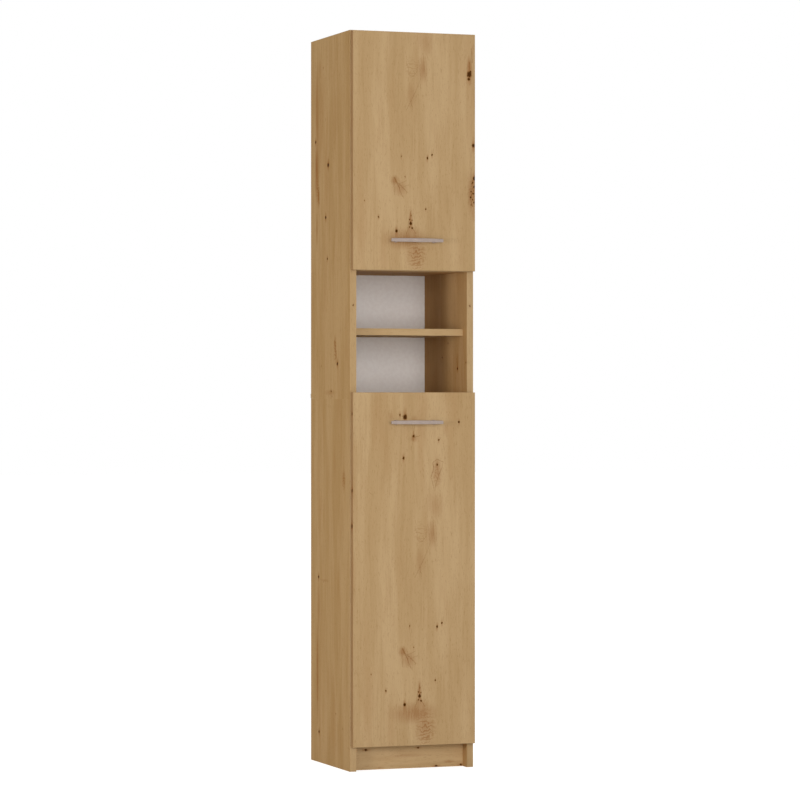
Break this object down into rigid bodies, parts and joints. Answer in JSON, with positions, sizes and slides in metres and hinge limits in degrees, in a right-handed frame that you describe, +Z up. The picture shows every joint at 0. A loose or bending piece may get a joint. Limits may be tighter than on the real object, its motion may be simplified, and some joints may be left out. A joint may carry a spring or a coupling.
{
  "type": "tall bathroom cabinet",
  "caption": "Tall narrow free-standing bathroom cabinet in oak decor board: hinged door below, open niche with shelf, hinged door above.",
  "frame": {"origin": "on the floor, under the middle of the whole piece's box", "axes": "+Z up, +X to the right as seen from the front, +Y from the doors towards the wall"},
  "size_m": [0.31, 0.336, 1.74],
  "materials": {
    "oak_decor_board": "matt melamine, knotty oak decor",
    "white_hardboard": "white painted hardboard",
    "white_plastic_strip": "extruded",
    "satin_nickel_handle": "satin nickel",
    "clear_bumper": "clear silicone",
    "beech_dowel": "plain",
    "zinc_casting": "die-cast zinc",
    "nickel_plated_hinge_steel": "nickel plated",
    "zinc_plated_steel": "bright zinc",
    "nickel_plated_pin": "nickel plated"
  },
  "bodies": {
    "carcass": {"lower_left_side": "oak_decor_board", "lower_right_side": "oak_decor_board", "upper_left_side": "oak_decor_board", "upper_right_side": "oak_decor_board", "bottom_panel": "oak_decor_board", "niche_floor": "oak_decor_board", "niche_shelf": "oak_decor_board", "niche_ceiling": "oak_decor_board", "top_panel": "oak_decor_board", "plinth_board": "oak_decor_board", "upper_loose_shelf": "oak_decor_board", "lower_loose_shelf_1": "oak_decor_board", "lower_loose_shelf_2": "oak_decor_board", "upper_back_panel": "white_hardboard", "lower_back_panel": "white_hardboard", "back_joint_strip": "white_plastic_strip", "panel_dowels": "beech_dowel", "side_seam_dowels": "beech_dowel", "cam_locks": "zinc_casting", "hinge_arms": "nickel_plated_hinge_steel", "hinge_mounting_plates": "nickel_plated_hinge_steel", "cam_bolts": "zinc_plated_steel", "back_nails": "zinc_plated_steel", "wall_bracket": "zinc_plated_steel", "wall_bracket_screws": "zinc_plated_steel", "corner_brackets": "zinc_plated_steel", "corner_bracket_screws": "zinc_plated_steel", "hinge_arm_pins": "zinc_plated_steel", "hinge_plate_screws": "zinc_plated_steel", "hinge_adjusting_screws": "zinc_plated_steel", "shelf_pins": "nickel_plated_pin"},
    "upper_outer_links": {"upper_outer_links": "nickel_plated_hinge_steel"},
    "upper_inner_links": {"upper_inner_links": "nickel_plated_hinge_steel"},
    "upper_door": {"upper_door": "oak_decor_board", "upper_handle": "satin_nickel_handle", "upper_handle_screws": "zinc_plated_steel", "upper_door_bumpers": "clear_bumper", "upper_hinge_cups": "nickel_plated_hinge_steel", "upper_hinge_cup_pins": "zinc_plated_steel", "upper_hinge_cup_screws": "zinc_plated_steel"},
    "lower_outer_links": {"lower_outer_links": "nickel_plated_hinge_steel"},
    "lower_inner_links": {"lower_inner_links": "nickel_plated_hinge_steel"},
    "lower_door": {"lower_door": "oak_decor_board", "lower_handle": "satin_nickel_handle", "lower_handle_screws": "zinc_plated_steel", "lower_door_bumpers": "clear_bumper", "lower_hinge_cups": "nickel_plated_hinge_steel", "lower_hinge_cup_pins": "zinc_plated_steel", "lower_hinge_cup_screws": "zinc_plated_steel"}
  },
  "joints": [
    {"name": "upper_outer_link_swing", "type": "hinge", "parent": "carcass", "child": "upper_outer_links", "pos_m": [0.124, -0.1198, 1.4575], "axis": [0, 0, 1], "range_deg": [-25.5, 0]},
    {"name": "upper_door_swing", "type": "hinge", "parent": "upper_outer_links", "child": "upper_door", "pos_m": [0.1435, -0.12915, 1.4575], "axis": [0, 0, 1], "range_deg": [0, 120]},
    {"name": "upper_inner_link_swing", "type": "hinge", "parent": "carcass", "child": "upper_inner_links", "pos_m": [0.119, -0.1198, 1.4575], "axis": [0, 0, 1], "range_deg": [-35.5, 0]},
    {"name": "lower_outer_link_swing", "type": "hinge", "parent": "carcass", "child": "lower_outer_links", "pos_m": [0.124, -0.1198, 0.474], "axis": [0, 0, 1], "range_deg": [-25.5, 0]},
    {"name": "lower_door_swing", "type": "hinge", "parent": "lower_outer_links", "child": "lower_door", "pos_m": [0.1435, -0.12915, 0.474], "axis": [0, 0, 1], "range_deg": [0, 120]},
    {"name": "lower_inner_link_swing", "type": "hinge", "parent": "carcass", "child": "lower_inner_links", "pos_m": [0.119, -0.1198, 0.474], "axis": [0, 0, 1], "range_deg": [-35.5, 0]}
  ],
  "couplings": [
    {"joint": "upper_outer_link_swing", "follows": "upper_door_swing", "ratio": -0.2089},
    {"joint": "upper_inner_link_swing", "follows": "upper_door_swing", "ratio": -0.2903},
    {"joint": "lower_outer_link_swing", "follows": "lower_door_swing", "ratio": -0.2089},
    {"joint": "lower_inner_link_swing", "follows": "lower_door_swing", "ratio": -0.2903}
  ]
}
